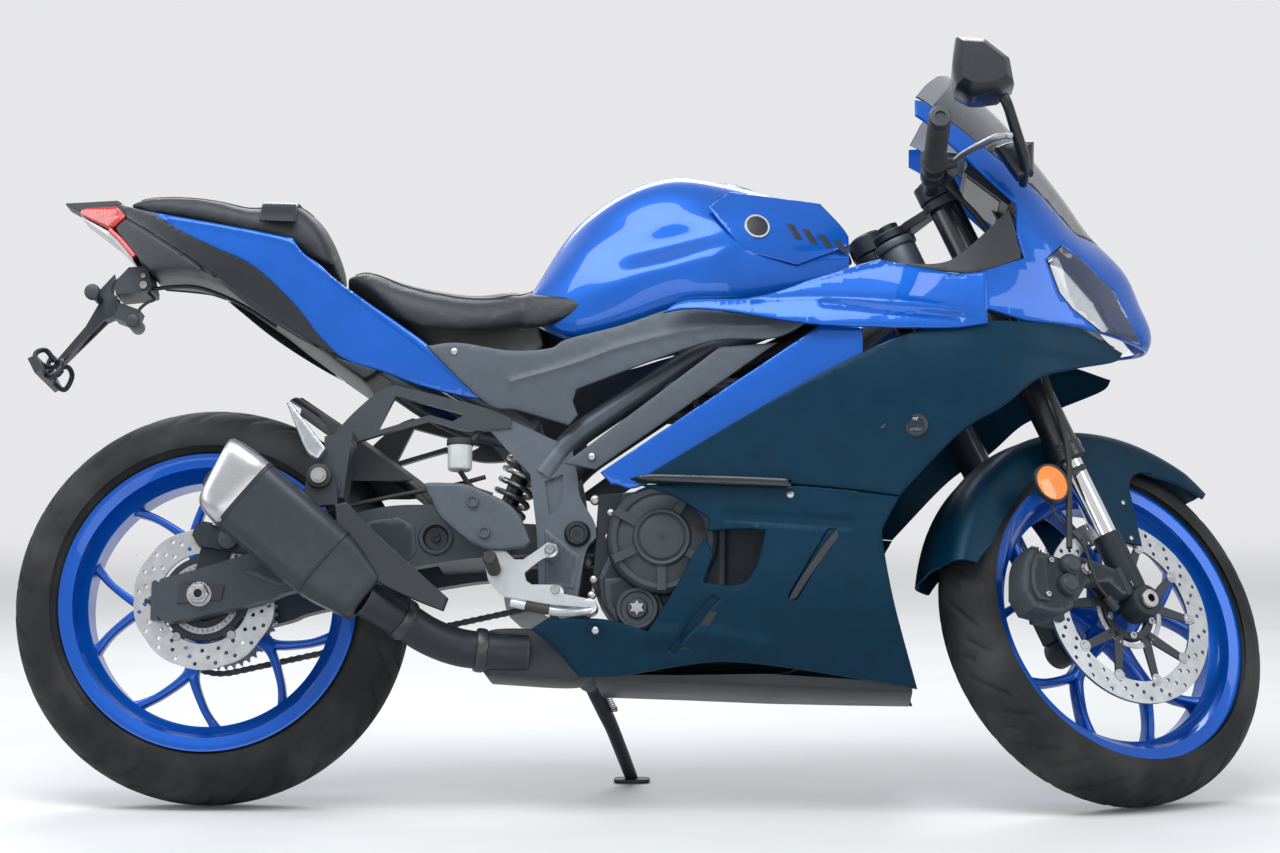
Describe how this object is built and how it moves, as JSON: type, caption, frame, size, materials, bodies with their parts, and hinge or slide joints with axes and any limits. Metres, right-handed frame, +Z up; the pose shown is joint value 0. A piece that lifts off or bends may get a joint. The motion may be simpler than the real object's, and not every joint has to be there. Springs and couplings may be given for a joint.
{
  "type": "sport motorcycle",
  "caption": "Sport motorcycle with full fairing, clip-on bars, two seats and a right side silencer, leaning on its side stand with its steering on the left stop.",
  "frame": {"origin": "centre of the bounding box, on the floor", "axes": "+X forward, +Y to the rider's left, +Z up"},
  "size_m": [1.9371, 0.7976, 1.1625],
  "materials": {
    "blue": "gloss metallic blue lacquer",
    "teal": "matt dark teal lacquer",
    "rim_blue": "gloss blue lacquer",
    "black_metal": "satin black",
    "grey_metal": "satin dark grey",
    "engine_black": "satin black coated casting",
    "alloy": "satin cast alloy",
    "steel": "brushed steel",
    "chrome": "bright hard chrome",
    "black_plastic": "grained black",
    "grey_plastic": "grained grey",
    "seat": "black seat cover",
    "rubber": "matt rubber",
    "tyre": "matt tyre rubber",
    "red_lens": "red lens",
    "clear": "tinted clear screen",
    "lamp": "clear lens",
    "amber": "amber reflector",
    "white": "translucent white"
  },
  "bodies": {
    "chassis": {"belly_pan": "black_plastic", "brake_reservoir": "white", "cockpit": "black_plastic", "drive_chain": "steel", "engine": "engine_black", "exhaust_pipe": "black_metal", "fairing_strips": "black_plastic", "foot_controls": "alloy", "frame": "black_metal", "frame_covers": "grey_plastic", "fuel_tank": "blue", "headlamps": "lamp", "heat_shield": "black_metal", "heel_guards": "grey_metal", "inner_panels": "blue", "instrument": "black_plastic", "lower_fairings": "teal", "mirrors": "black_plastic", "nose_cowl": "blue", "passenger_brackets": "black_metal", "pillion_seat": "seat", "plate_bracket": "black_metal", "radiator": "black_metal", "rear_caliper": "black_metal", "rear_mudguard": "black_plastic", "rear_spindles": "steel", "rider_seat": "seat", "shock_absorber": "black_metal", "side_covers": "grey_plastic", "side_fairings": "teal", "silencer": "black_metal", "silencer_cap": "steel", "swingarm": "grey_metal", "tail_lamp": "red_lens", "tail_panels": "blue", "tail_undertray": "black_plastic", "tank_cover": "blue", "upper_fairings": "blue", "windscreen": "clear"},
    "steering_head": {"fork_lowers": "chrome", "fork_uppers": "black_metal", "triple_clamps": "black_metal", "handlebars": "black_metal", "grips": "rubber", "levers": "alloy", "front_fender": "teal", "front_caliper": "black_metal", "reflectors": "amber", "front_axle": "steel", "front_brake_hose": "rubber"},
    "front_wheel": {"front_rim": "rim_blue", "front_tyre": "tyre", "front_disc": "steel"},
    "rear_wheel": {"rear_rim": "rim_blue", "rear_tyre": "tyre", "rear_disc": "steel", "rear_sprocket": "steel"},
    "side_stand": {"side_stand": "black_metal"},
    "fuel_cap": {"fuel_cap": "black_metal"}
  },
  "joints": [
    {"name": "steering", "type": "hinge", "parent": "chassis", "child": "steering_head", "pos_m": [0.5621, -0.08131, 0.52085], "axis": [-0.4177, 0.207, 0.8847], "range_deg": [-68, 0]},
    {"name": "front_wheel_spin", "type": "hinge", "parent": "steering_head", "child": "front_wheel", "pos_m": [0.71342, -0.11866, 0.26837], "axis": [-0.5091, 0.7532, -0.4166], "continuous": true},
    {"name": "rear_wheel_spin", "type": "hinge", "parent": "chassis", "child": "rear_wheel", "pos_m": [-0.66056, -0.13378, 0.30395], "axis": [-0.0013, 0.9736, -0.2283], "continuous": true},
    {"name": "side_stand_fold", "type": "hinge", "parent": "chassis", "child": "side_stand", "pos_m": [-0.08124, -0.04689, 0.1807], "axis": [0.1967, 0.7269, 0.658], "range_deg": [0, 95]},
    {"name": "fuel_cap_lid", "type": "hinge", "parent": "chassis", "child": "fuel_cap", "pos_m": [0.19971, 0.01522, 0.93444], "axis": [-0.0013, 0.9736, -0.2283], "range_deg": [0, 100]}
  ]
}
